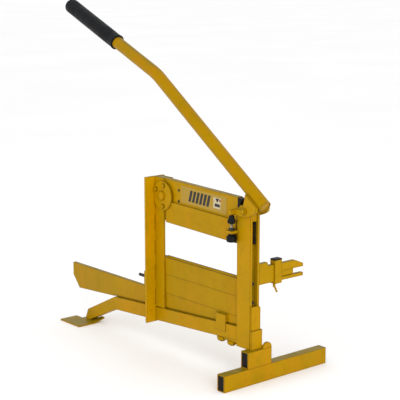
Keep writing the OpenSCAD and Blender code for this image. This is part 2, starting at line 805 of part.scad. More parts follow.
module handwheel() color(black) difference() {
    union() {
        z_rod(rod_x, rod_y, wheel_z0, wheel_z0 + wheel_rim_h, wheel_d);
        z_rod(rod_x, rod_y, wheel_z0 + wheel_rim_h, wheel_z0 + wheel_h, wheel_hub_d);
    }
    for (i = [0 : scallops - 1]) {
        a = 360 * i / scallops;
        z_rod(rod_x + scallop_r * cos(a), rod_y + scallop_r * sin(a),
            wheel_z0 - eps, wheel_z0 + wheel_h + eps, scallop_d, 24);
    }
}

module star_nut() color(black) difference() {
    union() {
        z_rod(rod_x, rod_y, star_z0, star_z0 + star_h, star_core_d);
        z_rod(rod_x, rod_y, star_z0 + star_h, star_hub_top, star_hub_d);
        for (i = [0 : lobes - 1]) {
            a = 360 * i / lobes;
            z_rod(rod_x + lobe_r * cos(a), rod_y + lobe_r * sin(a),
                star_z0, star_z0 + lobe_h, lobe_d, 24);
        }
    }
    z_rod(rod_x, rod_y, star_z0 - eps, star_hub_top - star_skin, rod_d + 2 * running);
}

// Lever -----------------------------------------------------------------------------------------

// Points round a station, at radius r
function tube_circle(station, r) =
    [for (k = [0 : tube_sides - 1])
        let (a = 360 * k / tube_sides, across = r * cos(a) * lever_up(station[1]))
        [station[0][0] + across[0], mid_y + r * sin(a), station[0][1] + across[1]]];

// A bent tube swept through its stations: the outer skin, the bore, and a ring at each end
module lever_tube() color(yellow) {
    n = tube_sides;
    m = len(lever_stations);
    outer = [for (s = lever_stations) each tube_circle(s, lever_d / 2)];
    bore = [for (s = lever_stations) each tube_circle(s, lever_d / 2 - lever_wall)];
    skin = [for (i = [0 : m - 2], k = [0 : n - 1])
        [i * n + k, i * n + (k + 1) % n, (i + 1) * n + (k + 1) % n, (i + 1) * n + k]];
    wall = [for (f = skin) [f[3] + m * n, f[2] + m * n, f[1] + m * n, f[0] + m * n]];
    low_end = [for (k = [0 : n - 1]) [(k + 1) % n, k, k + m * n, (k + 1) % n + m * n]];
    last = (m - 1) * n;
    high_end = [for (f = low_end) [f[3] + last, f[2] + last, f[1] + last, f[0] + last]];
    polyhedron(concat(outer, bore), concat(skin, wall, low_end, high_end), convexity = 10);
}

// Disc welded into the tube's lower end, a little inside its mouth
module lever_cap() color(yellow)
    translate([lever_end[0], mid_y, lever_end[1]]) rotate([0, lever_low_angle - 90, 0])
        translate([0, 0, cap_inset]) cylinder(h = cap_t, r = lever_d / 2 - lever_wall - drill);

// Along the upper straight, from a distance past the bend's corner
module on_upper(distance)
    translate([bend_vertex[0], mid_y, bend_vertex[1]]) mirror([1, 0, 0])
        rotate([0, -lever_high_angle, 0]) translate([distance, 0, 0]) rotate([0, 90, 0]) children();

// Sleeve with a closed, rounded end and a raised collar at its mouth
module lever_grip() color(black) on_upper(upper_len - grip_len)
    rotate_extrude() polygon(concat(
        [[lever_d / 2 + drill, 0], [grip_d / 2 + grip_collar[0], 0],
            [grip_d / 2 + grip_collar[0], grip_collar[1]], [grip_d / 2, grip_collar[2]]],
        [for (a = [0 : 15 : 90])
            [grip_d / 2 - grip_round + grip_round * cos(a), grip_len - grip_round + grip_round * sin(a)]],
        [[0, grip_len], [0, grip_len - tip_cap + drill], [lever_d / 2 + drill, grip_len - tip_cap + drill]]
    ));

module cheek(y0) difference() {
    xz_plate(cheek_outline, y0, y0 + cheek_t);
    y_rod(pivot_x, pivot_z, y0 - eps, y0 + cheek_t + eps, lever_pin_d + 2 * running);
}

module front_cheek() color(yellow) cheek(cheek_y0);

module rear_cheek() color(yellow) cheek(cheek_y1);

// Hard pad pin at the nose, which bears on the star nut
module nose_roller() color(yellow)
    y_rod(nose[0], nose[1], cheek_y0 - nose_len, cheek_y0, 2 * nose_r);

// Stop on the guide arm -------------------------------------------------------------------------

module stop_block() color(yellow) difference() {
    box([arm_x0 - stop_wall, stop_y0, stop_z0], [arm_x1 + stop_wall, stop_y1, stop_z1]);
    box([arm_x0 - sliding, stop_y0 - eps, arm_z0 - sliding],
        [arm_x1 + sliding, stop_y1 + eps, arm_z1 + sliding]);
    z_rod(arm_x0 + arm_t / 2, clamp_y, stop_z0 - eps, arm_z0, clamp_d + 2 * running);
}

module stop_cap() color(black)
    box([arm_x0 - stop_wall, stop_y0, stop_z1], [arm_x1 + stop_wall, stop_y1, stop_z1 + cap_h]);

// Screw that pinches the stop on the arm, with its bent finger handle
module clamp_screw() color(yellow) translate([arm_x0 + arm_t / 2, clamp_y, 0]) {
    z_rod(0, 0, clamp_bottom, arm_z0 - sliding - clamp_gap, clamp_d);
    translate([0, 0, clamp_bottom + handle_z]) rotate([180 + handle_lean, 0, 0])
        cylinder(h = handle_len, d = handle_d);
}

place() foot_bar();
place() foot_block();
place() foot_plugs();
place() foot_ear();
place() foot_post();
place() post_sleeve();
place() column_front();
place() column_rear();
place() column_filler();
place() column_screws();
place() anvil_plate();
place() middle_plate();
place() wing_plate();
place() lower_knife();
place() lower_knife_screws();
place() base_rail();
place() rail_bracket();
place() rail_block();
place() rail_nuts();
place() upright_web();
place() front_flange();
place() rear_hinge_plate();
place() pivot_disc();
place() disc_screws();
place() beam_pin();
place() beam_pin_nut();
place() side_boss();
place() side_stud();
place() left_foot();
place() guide_arm();
place() arm_spacer();
place() lever_pin();
place() lever_pin_clips();
place() pivot_washers();
place() return_spring();
place() knife_beam();
place() front_clamp_bar();
place() rear_clamp_bar();
place() upper_knife();
place() clamp_bar_bolts();
place() label_plate();
place() label_screws();
place() spindle_lug();
place() lug_nut();
place() beam_buffer();
place() spindle_rod();
place() handwheel();
place() star_nut();
place() lever_tube();
place() lever_cap();
place() lever_grip();
place() front_cheek();
place() rear_cheek();
place() nose_roller();
place() stop_block();
place() stop_cap();
place() clamp_screw();
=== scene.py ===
"""Looks of the lever-operated tile splitter: painted steel, bare knives, rubber, threads and welds."""

import json
import math
import random

import bpy
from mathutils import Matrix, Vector


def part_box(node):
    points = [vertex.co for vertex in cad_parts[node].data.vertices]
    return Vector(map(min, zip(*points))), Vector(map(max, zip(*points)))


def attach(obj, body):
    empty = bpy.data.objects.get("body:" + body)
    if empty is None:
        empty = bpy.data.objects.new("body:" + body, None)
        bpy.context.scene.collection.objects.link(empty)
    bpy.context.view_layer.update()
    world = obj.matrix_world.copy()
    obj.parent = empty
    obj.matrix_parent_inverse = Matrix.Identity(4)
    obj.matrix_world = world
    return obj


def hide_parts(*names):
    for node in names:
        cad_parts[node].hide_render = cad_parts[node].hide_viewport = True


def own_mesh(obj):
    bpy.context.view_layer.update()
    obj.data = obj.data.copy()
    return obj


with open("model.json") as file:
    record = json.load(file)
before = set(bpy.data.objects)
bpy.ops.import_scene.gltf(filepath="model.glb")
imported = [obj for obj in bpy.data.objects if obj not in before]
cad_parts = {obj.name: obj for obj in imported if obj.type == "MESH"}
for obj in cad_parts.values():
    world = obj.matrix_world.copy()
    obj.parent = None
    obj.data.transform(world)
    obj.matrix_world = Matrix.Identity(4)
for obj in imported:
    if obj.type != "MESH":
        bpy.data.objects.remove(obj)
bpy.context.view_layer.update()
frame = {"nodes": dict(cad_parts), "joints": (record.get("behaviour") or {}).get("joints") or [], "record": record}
CAD_NODES = frame["nodes"]
RECORD = frame["record"]
BODY_OF = {n: body for body, group in RECORD["behaviour"]["bodies"].items() for n in group}
SLOT_OF = {part["node"]: part["material_slot"] for part in RECORD["subparts"]}
JOINT = {joint["name"]: joint for joint in frame["joints"]}

MM = 0.001
X, Y, Z = Vector((1, 0, 0)), Vector((0, 1, 0)), Vector((0, 0, 1))
rng = random.Random(33)
OVERLAP = 1 * MM            # how far a piece runs into the one that it sits on

# The view: where the camera looks, and from which side
VIEW_AZIMUTH = math.radians(49.9)
VIEW_ELEVATION = math.radians(11.23)
VIEW_DISTANCE = 3.574
VIEW_LENS = 108
VIEW_TARGET = Vector((-0.233, -0.087, 0.508))


# Materials -----------------------------------------------------------------------------------

class Shader:
    """Builds one procedural material, with its coordinates in metres from the object's origin."""

    def __init__(self, name):
        self.material = bpy.data.materials.new(name)
        self.material.use_nodes = True
        self.tree = self.material.node_tree
        self.bsdf = next(n for n in self.tree.nodes if n.type == "BSDF_PRINCIPLED")
        self.place = self.add("ShaderNodeTexCoord").outputs["Object"]

    def add(self, kind, **values):
        node = self.tree.nodes.new(kind)
        for key, value in values.items():
            setattr(node, key, value)
        return node

    def feed(self, socket, value):
        """Links an output to a socket, or sets the socket's own value."""
        if isinstance(value, bpy.types.NodeSocket):
            self.tree.links.new(value, socket)
        else:
            socket.default_value = value

    def noise(self, scale, detail=4.0, stretch=None):
        place = self.place
        if stretch:
            mapping = self.add("ShaderNodeMapping")
            self.feed(mapping.inputs["Vector"], place)
            mapping.inputs["Scale"].default_value = stretch
            place = mapping.outputs["Vector"]
        node = self.add("ShaderNodeTexNoise")
        self.feed(node.inputs["Vector"], place)
        node.inputs["Scale"].default_value = scale
        node.inputs["Detail"].default_value = detail
        return node.outputs["Fac"]

    def span(self, value, low, high, to_low=0.0, to_high=1.0):
        """Maps low..high to to_low..to_high, and holds it beyond them."""
        node = self.add("ShaderNodeMapRange")
        for socket, number in zip(node.inputs, (value, low, high, to_low, to_high)):
            self.feed(socket, number)
        return node.outputs["Result"]

    def math(self, operation, a, b=0.0):
        node = self.add("ShaderNodeMath", operation=operation)
        self.feed(node.inputs[0], a)
        self.feed(node.inputs[1], b)
        return node.outputs["Value"]

    def mix(self, share, a, b):
        node = self.add("ShaderNodeMix", data_type="RGBA")
        self.feed(node.inputs[0], share)
        self.feed(node.inputs[6], a)
        self.feed(node.inputs[7], b)
        return node.outputs[2]

    def edges(self, radius):
        """How far the surface turns within radius: 0 on a flat face, towards 1 on an edge."""
        bevel = self.add("ShaderNodeBevel", samples=4)
        bevel.inputs["Radius"].default_value = radius
        geometry = self.add("ShaderNodeNewGeometry")
        dot = self.add("ShaderNodeVectorMath", operation="DOT_PRODUCT")
        self.feed(dot.inputs[0], bevel.outputs["Normal"])
        self.feed(dot.inputs[1], geometry.outputs["True Normal"])
        return self.span(dot.outputs["Value"], 0.995, 0.80)

    def upward(self, low, high):
        """1 on faces that look up, 0 on upright ones."""
        height = self.add("ShaderNodeSeparateXYZ")
        self.feed(height.inputs[0], self.add("ShaderNodeNewGeometry").outputs["Normal"])
        return self.span(height.outputs["Z"], low, high)

    def bump(self, height, distance, strength=1.0, under=None):
        node = self.add("ShaderNodeBump")
        node.inputs["Strength"].default_value = strength
        node.inputs["Distance"].default_value = distance
        self.feed(node.inputs["Height"], height)
        if under:
            self.feed(node.inputs["Normal"], under)
        return node.outputs["Normal"]

    def set(self, **values):
        names = {"colour": "Base Color", "roughness": "Roughness", "metallic": "Metallic",
                 "normal": "Normal", "specular": "Specular IOR Level", "tint": "Specular Tint"}
        for key, value in values.items():
            self.feed(self.bsdf.inputs[names[key]], value)
        return self.material


def rgb(r, g, b):
    """A colour given as display values from 0 to 255."""
    return tuple((c / 255) ** 2.2 for c in (r, g, b)) + (1.0,)


OLIVE = rgb(114, 101, 12)
OLIVE_DARK = rgb(70, 56, 10)
WORN_GREY = rgb(104, 98, 84)


def painted(name, main, deep, warm, bare_from=None):
    """Workshop enamel on steel: mottled colour, dark olive near edges and in corners that is partly grime and
    partly painted shade, chips down to grey, orange peel.
    Above the height bare_from it is rubbed off to the steel."""
    s = Shader(name)
    patches = s.noise(7.0, 5.0)
    runs = s.noise(16.0, 3.0, stretch=(1.0, 1.0, 0.25))
    colour = s.mix(s.span(patches, 0.38, 0.66), main, deep)
    colour = s.mix(s.math("MULTIPLY", s.span(runs, 0.48, 0.72), 0.6), colour, warm)
    smudge = s.span(s.noise(45.0, 6.0), 0.52, 0.80, 0.0, 0.35)
    colour = s.mix(smudge, colour, OLIVE)
    dust = s.math("MULTIPLY", s.upward(0.80, 0.97), s.span(s.noise(18.0), 0.3, 0.7, 0.65, 0.95))
    colour = s.mix(dust, colour, OLIVE)
    # Dark olive near edges and in corners: partly grime, partly painted shade standing in for the shade that falls
    # in creases and hollows.
    grime_and_painted_shade = s.math("MULTIPLY", s.edges(4.0 * MM), s.span(s.noise(60.0), 0.3, 0.7, 0.60, 0.95))
    colour = s.mix(grime_and_painted_shade, colour, OLIVE_DARK)
    specks = s.span(s.noise(420.0, 2.0), 0.70, 0.74)
    colour = s.mix(s.math("MULTIPLY", specks, 0.35), colour, OLIVE_DARK)
    worn = s.math("MULTIPLY", s.edges(0.9 * MM), s.span(s.noise(95.0, 6.0), 0.57, 0.63))
    if bare_from is not None:
        height = s.add("ShaderNodeSeparateXYZ")
        s.feed(height.inputs[0], s.place)
        waver = s.span(s.noise(160.0), 0.3, 0.7, -1.5 * MM, 1.5 * MM)
        ragged = s.math("ADD", height.outputs["Z"], waver)
        worn = s.math("MAXIMUM", worn, s.span(ragged, bare_from - 0.5 * MM, bare_from + 0.5 * MM))
    colour = s.mix(worn, colour, WORN_GREY)
    rough = s.span(s.noise(35.0), 0.3, 0.7, 0.36, 0.54)
    rough = s.math("ADD", rough, s.math("MULTIPLY", worn, 0.1))
    peel = s.bump(s.noise(900.0, 2.0), 0.25 * MM, 0.25)
    dents = s.bump(s.noise(28.0, 2.0), 0.8 * MM, 0.20, under=peel)
    return s.set(colour=colour, roughness=rough, metallic=s.math("MULTIPLY", worn, 0.7),
                 normal=dents, specular=0.17, tint=rgb(255, 196, 60))


def bare_steel(name, light, dark, grain, rough_low, rough_high):
    """Machined or turned steel with a grain along one direction and darker stains."""
    s = Shader(name)
    stains = s.span(s.noise(30.0, 6.0), 0.40, 0.70)
    lines = s.noise(500.0, 2.0, stretch=grain)
    colour = s.mix(stains, light, dark)
    colour = s.mix(s.span(lines, 0.45, 0.65, 0.0, 0.35), colour, dark)
    rough = s.span(lines, 0.3, 0.7, rough_low, rough_high)
    return s.set(colour=colour, roughness=rough, metallic=0.9, normal=s.bump(lines, 0.1 * MM, 0.35))


def oxide_steel(name):
    """Black oxide on fasteners, rubbed bright at its edges."""
    s = Shader(name)
    black, brown, bright = rgb(44, 43, 42), rgb(72, 66, 58), rgb(150, 146, 138)
    colour = s.mix(s.span(s.noise(80.0, 5.0), 0.35, 0.7), black, brown)
    rubbed = s.math("MULTIPLY", s.edges(0.6 * MM), s.span(s.noise(150.0), 0.45, 0.6))
    colour = s.mix(rubbed, colour, bright)
    rough = s.span(s.noise(120.0), 0.3, 0.7, 0.36, 0.55)
    return s.set(colour=colour, roughness=rough, metallic=0.75,
                 normal=s.bump(s.noise(1200.0, 2.0), 0.05 * MM, 0.5))


def rubber(name, dark, dusty, pebble):
    """Moulded rubber or hard plastic: near black, dusty in patches, finely pebbled."""
    s = Shader(name)
    dust = s.span(s.noise(22.0, 5.0), 0.45, 0.8, 0.0, 0.6)
    colour = s.mix(dust, dark, dusty)
    colour = s.mix(s.math("MULTIPLY", s.edges(1.2 * MM), 0.5), colour, dusty)
    rough = s.span(s.noise(70.0), 0.3, 0.7, 0.42, 0.62)
    return s.set(colour=colour, roughness=rough, specular=0.16,
                 normal=s.bump(s.noise(pebble, 2.0), 0.12 * MM, 0.6))


def printed(name, ink, worn_ink):
    """Flat print on the label, slightly faded in patches."""
    s = Shader(name)
    colour = s.mix(s.span(s.noise(90.0, 5.0), 0.45, 0.75, 0.0, 0.7), ink, worn_ink)
    rough = s.span(s.noise(60.0), 0.3, 0.7, 0.40, 0.55)
    return s.set(colour=colour, roughness=rough, normal=s.bump(s.noise(700.0), 0.05 * MM, 0.3))


PAINT = painted("yellow_enamel", rgb(168, 127, 2), rgb(158, 121, 4), rgb(180, 123, 3))
BED = rgb(160, 124, 5), rgb(150, 116, 7), rgb(170, 120, 5)
PAINT_BED = painted("yellow_enamel_bed", *BED)
# Lighter paint for the upright web: painted light on its side face, which looks towards the key lamp.
PAINT_WEB_PAINTED_LIGHT = painted("yellow_enamel_web_painted_light", rgb(188, 141, 2), rgb(176, 134, 4), rgb(198, 136, 3))
PAINT_LEVER = painted("yellow_enamel_lever", rgb(158, 119, 2), rgb(150, 114, 4), rgb(168, 115, 3))
# Darker, browner paint for the column filler inside the slot: painted shade of the recess.
PAINT_SLOT_PAINTED_SHADE = painted("yellow_enamel_slot_painted_shade", rgb(128, 100, 12), rgb(100, 84, 14), rgb(142, 102, 12))
WELD = painted("yellow_enamel_weld", rgb(162, 119, 4), rgb(150, 110, 6), rgb(176, 120, 4))
BARE_EDGE = 1.6 * MM        # depth of the lower knife's edge that is bare of paint
KNIFE = painted("yellow_enamel_knife", *BED, bare_from=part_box("lower_knife")[1].z - BARE_EDGE)
GROUND = bare_steel("ground_steel", rgb(128, 122, 104), rgb(88, 82, 66), (0.02, 1, 1), 0.28, 0.45)
BRIGHT = bare_steel("zinc_plate", rgb(186, 180, 160), rgb(140, 132, 110), (1, 1, 0.1), 0.22, 0.40)
OXIDE = oxide_steel("black_oxide")
SPRING = rubber("black_lacquer", rgb(12, 12, 12), rgb(26, 25, 22), 700.0)
RUBBER = rubber("grip_rubber", rgb(15, 16, 19), rgb(30, 32, 37), 1500.0)
KNOB = rubber("knob_plastic", rgb(12, 12, 13), rgb(28, 28, 29), 900.0)
LABEL = printed("label_ground", rgb(158, 124, 12), rgb(146, 116, 16))
INK = printed("label_black", rgb(14, 12, 10), rgb(32, 28, 18))
INK_PALE = printed("label_pale", rgb(186, 172, 140), rgb(160, 140, 96))
INK_RED = printed("label_red", rgb(128, 40, 26), rgb(140, 70, 44))
SLOT_MATERIAL = {
    "yellow_paint": PAINT, "knife_steel": GROUND, "bright_steel": BRIGHT, "dark_steel": OXIDE,
    "rubber": RUBBER, "knob": KNOB, "spring": SPRING, "label": LABEL,
}
NODE_MATERIAL = {
    "anvil_plate": PAINT_BED, "middle_plate": PAINT_BED, "wing_plate": PAINT_BED, "lower_knife": KNIFE,
    "column_filler": PAINT_SLOT_PAINTED_SHADE, "upright_web": PAINT_WEB_PAINTED_LIGHT, "lever_cap": PAINT_LEVER,
}


# Mesh helpers --------------------------------------------------------------------------------

def piece(name, verts, faces, material, node, replaces=(), smooth=True):
    """A mesh in the row frame that rides on the body of a CAD node."""
    mesh = bpy.data.meshes.new(name)
    mesh.from_pydata([tuple(v) for v in verts], [], faces)
    mesh.validate()
    mesh.materials.append(material)
    if smooth:
        mesh.shade_smooth()
        mesh.set_sharp_from_angle(angle=math.radians(38))
    obj = bpy.data.objects.new(name, mesh)
    bpy.context.scene.collection.objects.link(obj)
    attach(obj, BODY_OF[node])
    if replaces:
        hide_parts(*replaces)
    return obj


def mm(*pairs):
    """Pairs of millimetres as pairs of metres."""
    return [(a * MM, b * MM) for a, b in pairs]


def merged(parts):
    """Several (verts, faces) as one."""
    verts, faces = [], []
    for part_verts, part_faces in parts:
        faces += [[i + len(verts) for i in face] for face in part_faces]
        verts += part_verts
    return verts, faces


def circle(centre, side, across, radius, count):
    """Points round a centre, in the plane of side and across."""
    turns = (2 * math.pi * k / count for k in range(count))
    return [centre + side * (radius * math.cos(a)) + across * (radius * math.sin(a)) for a in turns]


def frame_of(axis):
    """Two directions square to axis."""
    axis = axis.normalized()
    side = axis.cross(Z if abs(axis.z) < 0.9 else X).normalized()
    return side, axis.cross(side)


def rings(loops, closed=False):
    """A skin over loops of points that all have the same count, with both ends capped unless closed."""
    count, last = len(loops[0]), len(loops) if closed else len(loops) - 1
    verts = [p for loop in loops for p in loop]
    faces = []
    for i in range(last):
        a, b = i * count, (i + 1) % len(loops) * count
        faces += [[a + k, a + (k + 1) % count, b + (k + 1) % count, b + k] for k in range(count)]
    if not closed:
        faces.append(list(range(count))[::-1])
        faces.append([len(verts) - count + k for k in range(count)])
    return verts, faces


def lathe(base, axis, profile, sides=48, press=None):
    """Turns a profile of (radius, distance along the axis) about a line from base.
    press gives how far the surface is pushed in at an angle and a distance along."""
    side, across = frame_of(axis)
    axis = axis.normalized()
    loops = []
    for radius, at in profile:
        loop = []
        for k in range(sides):
            a = 2 * math.pi * k / sides
            r = radius - (press(a, at) if press else 0)
            loop.append(base + axis * at + side * (r * math.cos(a)) + across * (r * math.sin(a)))
        loops.append(loop)
    return rings(loops)


def sweep(path, radius, sides=12):
    """A tube along path. radius is a number or a function of the place's index."""
    loops = []
    side = None
    for i, point in enumerate(path):
        ahead = (path[min(i + 1, len(path) - 1)] - path[max(i - 1, 0)]).normalized()
        side = frame_of(ahead)[0] if side is None else (side - ahead * side.dot(ahead)).normalized()
        across = ahead.cross(side)
        r = radius(i) if callable(radius) else radius
        loops.append(circle(point, side, across, r, sides))
    return rings(loops)


def along(start, end, step):
    """Points from start to end, about step apart."""
    count = max(2, round((end - start).length / step))
    return [start.lerp(end, i / count) for i in range(count + 1)]


WELD_STEP = 0.9 * MM
WELD_TAPER = 4              # steps over which a bead thins out at each end
WELD_RIPPLE = 1.6
WELD_WANDER = 0.25 * MM


def weld(start, end, radius):
    """A hand-laid bead with ripples along a straight seam, tapered at both ends."""
    start, end = Vector(start), Vector(end)
    path = along(start, end, WELD_STEP)
    side, across = frame_of(end - start)
    last = len(path) - 1
    drift = rng.uniform(0, 6)
    path = [p + side * (WELD_WANDER * math.sin(drift + 0.21 * i))
            + across * (WELD_WANDER * math.sin(2 * drift + 0.13 * i)) for i, p in enumerate(path)]

    def bead(i):
        taper = min(1.0, (min(i, last - i) + 1) / WELD_TAPER)
        ripple = 0.10 * math.sin(WELD_RIPPLE * i) + 0.06 * math.sin(0.17 * i + drift)
        return radius * math.sqrt(taper) * (1 + ripple)
    return sweep(path, bead, sides=8)


HEX_CHAMFER = 0.048         # height of a hexagon's chamfers, as a share of its width


def hex_head(base, axis, width, height, turn=0.0):
    """A hexagon head or nut with both rims chamfered. width is across its corners."""
    side, across = frame_of(axis)
    axis = axis.normalized()
    chamfer = HEX_CHAMFER * width
    corners = [turn + math.radians(60 * k) for k in range(6)]
    loops = []
    for share, at in ((0.88, 0), (1.0, chamfer), (1.0, height - chamfer), (0.86, height)):
        reach = width / 2 * share
        loops.append([base + axis * at + side * (reach * math.cos(a)) + across * (reach * math.sin(a))
                      for a in corners])
    return rings(loops)


def washer(base, axis, outer, thickness):
    inner = outer * 0.94
    profile = [(inner, 0), (outer, thickness * 0.25), (outer, thickness * 0.75), (inner, thickness)]
    return lathe(base, axis, profile, sides=36)


HEAD_SINK = 0.1 * MM        # how far a head runs into its washer


def bolt(seat, way, washer_size, head_size, shank):
    """A hexagon bolt on its washer, turned at random. Sizes are (radius or width, height) in mm."""
    outer, thickness = (size * MM for size in washer_size)
    width, height = (size * MM for size in head_size)
    return [
        washer(seat, way, outer, thickness),
        hex_head(seat + way * (thickness - HEAD_SINK), way, width, height, rng.uniform(0, 1)),
        lathe(seat, -way, mm(*shank), sides=24),
    ]


THREAD_SIDES = 24
THREAD_ROWS = 8             # rings of points in one pitch
THREAD_DEPTH = 0.55         # as a share of the pitch
THREAD_END = 0.6            # how much of the depth is chamfered off at both ends


def thread(base, axis, radius, length, pitch):
    """A real helical thread between radius less its depth and radius."""
    side, across = frame_of(axis)
    axis = axis.normalized()
    depth = THREAD_DEPTH * pitch
    count = round(length / pitch * THREAD_ROWS)
    loops = []
    for i in range(count + 1):
        at = length * i / count
        loop = []
        for k in range(THREAD_SIDES):
            a = 2 * math.pi * k / THREAD_SIDES
            phase = (at / pitch - k / THREAD_SIDES) % 1
            r = radius - depth * abs(2 * phase - 1) - THREAD_END * depth * (i in (0, count))
            loop.append(base + axis * at + side * (r * math.cos(a)) + across * (r * math.sin(a)))
        loops.append(loop)
    return rings(loops)


def solids_of(node):
    """The boxes of a CAD node's separate solids, in order along X then Z."""
    mesh = CAD_NODES[node].data
    place = {}
    for v in mesh.vertices:
        place.setdefault(tuple(round(c, 5) for c in v.co), []).append(v.index)
    group = list(range(len(mesh.vertices)))

    def find(i):
        while group[i] != i:
            group[i] = group[group[i]]
            i = group[i]
        return i

    for same in place.values():
        for i in same[1:]:
            group[find(i)] = find(same[0])
    for edge in mesh.edges:
        group[find(edge.vertices[0])] = find(edge.vertices[1])
    boxes = {}
    for v in mesh.vertices:
        low, high = boxes.setdefault(find(v.index), (v.co.copy(), v.co.copy()))
        for k in range(3):
            low[k] = min(low[k], v.co[k])
            high[k] = max(high[k], v.co[k])
    return sorted(boxes.values(), key=lambda b: (round(b[0].x, 4), round(b[0].z, 4)))


def middle(low, high):
    return (low + high) / 2


# Finish on the CAD nodes ---------------------------------------------------------------------

EDGE_WIDTH = 0.8 * MM
EDGE_SHARE = 0.12           # most of a node's least side that its rounding may take


def dress_cad_nodes():
    """Every carried-over node gets its material and a small rounding of its sharp edges."""
    for name, obj in CAD_NODES.items():
        obj.data.materials.clear()
        obj.data.materials.append(NODE_MATERIAL.get(name, SLOT_MATERIAL[SLOT_OF[name]]))
        low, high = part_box(name)
        bevel = obj.modifiers.new("edge_round", "BEVEL")
        bevel.width = min(EDGE_WIDTH, EDGE_SHARE * min(high - low))
        bevel.segments = 2
        bevel.limit_method = "ANGLE"
        bevel.angle_limit = math.radians(40)
        bevel.use_clamp_overlap = True


# Lever ---------------------------------------------------------------------------------------

LEVER_LOW = math.radians(34.8)
LEVER_HIGH = math.radians(23.1)
LEVER_BEND_R = 200 * MM
LEVER_WALL = 3 * MM
BEND_STEPS = 16
TUBE_SIDES = 64


def lever_direction(slope):
    return Vector((-math.cos(slope), 0, math.sin(slope)))


def lever_up(slope):
    return Vector((math.sin(slope), 0, math.cos(slope)))


def lever_line():
    """The tube's radius, and the points and slopes of its centreline from its lower end to its tip."""
    low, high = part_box("lever_tube")
    radius = (high.y - low.y) / 2
    mid_y = (high.y + low.y) / 2
    start = Vector((high.x - radius * math.sin(LEVER_LOW), mid_y,
                    low.z + radius * math.cos(LEVER_LOW)))
    end = Vector((low.x + radius * math.sin(LEVER_HIGH), mid_y,
                  high.z - radius * math.cos(LEVER_HIGH)))
    # The bend is tangent to both straights, short of the corner where they would meet
    gap = end - start
    a, b = lever_direction(LEVER_LOW), lever_direction(LEVER_HIGH)
    corner = start + a * ((gap.x * b.z - gap.z * b.x) / (a.x * b.z - a.z * b.x))
    bend_start = corner - a * (LEVER_BEND_R * math.tan((LEVER_LOW - LEVER_HIGH) / 2))
    centre = bend_start - lever_up(LEVER_LOW) * LEVER_BEND_R
    bend = []
    for i in range(BEND_STEPS + 1):
        slope = LEVER_LOW + (LEVER_HIGH - LEVER_LOW) * i / BEND_STEPS
        bend.append((centre + lever_up(slope) * LEVER_BEND_R, slope))
    return radius, [(start, LEVER_LOW)] + bend + [(end, LEVER_HIGH)]


def build_lever_tube():
    radius, line = lever_line()
    outer, inner = ([circle(point, lever_up(slope), Y, r, TUBE_SIDES) for point, slope in line]
                    for r in (radius, radius - LEVER_WALL))
    piece("lever_tube_bent", *rings(outer + inner[::-1], closed=True), PAINT_LEVER, "lever_tube",
          replaces=["lever_tube"])


GRIP_LENGTH = 286 * MM
GRIP_R = 24 * MM
GRIP_TIP = 8 * MM           # rubber beyond the tube's end
GRIP_BORE_GAP = 0.1 * MM
GRIP_DOME = 13 * MM
DOME_STEPS = 8
GROOVE_PITCH = 6 * MM
GROOVE_DEPTH = 0.7 * MM
GROOVE_STEP = 0.8 * MM
GROOVE_BANDS = ((30 * MM, 7), (225 * MM, 6))    # where a band of grooves starts, and how many


def build_grip():
    """A sleeve with a collar, two bands of ring grooves and a domed tip."""
    radius, line = lever_line()
    forward = lever_direction(LEVER_HIGH)
    mouth = line[-1][0] + forward * (GRIP_TIP - GRIP_LENGTH)
    collar = GRIP_R + 1 * MM
    profile = [(radius + GRIP_BORE_GAP, 0), (GRIP_R - 1 * MM, 0), (collar - 0.2 * MM, 1 * MM),
               (collar, 3 * MM), (collar - 0.2 * MM, 5.5 * MM), (GRIP_R - 0.4 * MM, 8 * MM)]
    floor = GRIP_R - GROOVE_DEPTH
    for first, count in GROOVE_BANDS:
        for i in range(count):
            at = first + GROOVE_PITCH * i
            profile += [(GRIP_R, at), (floor, at + GROOVE_STEP), (floor, at + 2 * GROOVE_STEP),
                        (GRIP_R, at + 3 * GROOVE_STEP)]
    for i in range(DOME_STEPS + 1):
        a = math.radians(90 * i / DOME_STEPS)
        profile.append((GRIP_R - GRIP_DOME + GRIP_DOME * math.cos(a),
                        GRIP_LENGTH - GRIP_DOME + GRIP_DOME * math.sin(a)))
    profile.append((1 * MM, GRIP_LENGTH))
    piece("lever_grip_rubber", *lathe(mouth, forward, profile, sides=64), RUBBER, "lever_grip",
          replaces=["lever_grip"])


LEVER_PIN_DOME = (7.2, 0), (7.2, 1), (6.4, 1.9), (4, 2.4), (0.6, 2.6)
PIN_SINK = 0.5 * MM         # how far the domes run into the pin


def build_lever_pin():
    """Domed ends outside the clips."""
    low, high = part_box("lever_pin")
    centre = middle(low, high)
    for name, at, way in (("lever_pin_front_dome", low.y, -Y), ("lever_pin_rear_dome", high.y, Y)):
        base = Vector((centre.x, at, centre.z)) - way * PIN_SINK
        piece(name, *lathe(base, way, mm(*LEVER_PIN_DOME), sides=40), PAINT, "lever_pin")


CHEEK_SEAM = (8 * MM, 60 * MM)      # along the tube from its lower end
CHEEK_SEAM_DROP = 5.5 * MM          # below the tube's centreline
CHEEK_SEAM_OUT = 2 * MM             # outside the cheek's inner face
CHEEK_BEAD = 3.2 * MM


def build_cheek_welds():
    """Beads that join the cheeks to the tube."""
    start = lever_line()[1][0][0] - lever_up(LEVER_LOW) * CHEEK_SEAM_DROP
    for name, node, way in (("front_cheek_weld", "front_cheek", -1),
                            ("rear_cheek_weld", "rear_cheek", 1)):
        low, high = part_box(node)
        seam = [start + lever_direction(LEVER_LOW) * at for at in CHEEK_SEAM]
        for point in seam:
            point.y = (high.y if way < 0 else low.y) + way * CHEEK_SEAM_OUT
        piece(name, *weld(*seam, CHEEK_BEAD), WELD, node)


# Fasteners and hinges ------------------------------------------------------------------------

BOLT_HEAD = 5 * MM          # height of the CAD's own heads of the disc screws and clamp bolts


